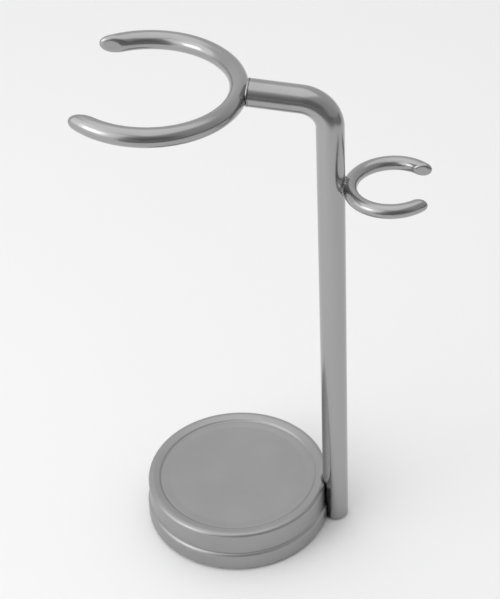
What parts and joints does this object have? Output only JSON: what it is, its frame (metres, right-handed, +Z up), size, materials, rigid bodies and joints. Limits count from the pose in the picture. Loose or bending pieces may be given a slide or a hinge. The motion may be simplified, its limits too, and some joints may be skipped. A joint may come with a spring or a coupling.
{
  "type": "shaving brush and razor stand",
  "caption": "Free-standing chrome shaving stand: a bent round bar on a round weighted base, with an open ring that hangs a brush and a smaller open ring for a safety razor.",
  "frame": {"origin": "centre of the base's underside, on the table", "axes": "+Z up; -X towards the brush ring's mouth, +X towards the razor ring; the stand is symmetric about Y = 0"},
  "size_m": [0.0854, 0.0516, 0.1432],
  "materials": {
    "plated_bar": "chrome plate, fine satin from polishing along the bar",
    "plated_ring": "chrome plate, bright",
    "plated_base": "chrome plate, soft satin",
    "solder": "plated over, lumpy as it froze",
    "fixing_steel": "plain stainless, as supplied",
    "pad": "matt, fine grain"
  },
  "bodies": {
    "root": {"column": "plated_bar", "brush_ring": "plated_ring", "brush_ring_stud": "fixing_steel", "razor_ring": "plated_ring", "razor_ring_peg": "fixing_steel", "razor_ring_solder": "solder", "base_weight": "plated_base", "base_cap": "plated_base", "base_pad": "pad", "foot_screw": "fixing_steel", "foot_washer": "fixing_steel"}
  },
  "joints": []
}
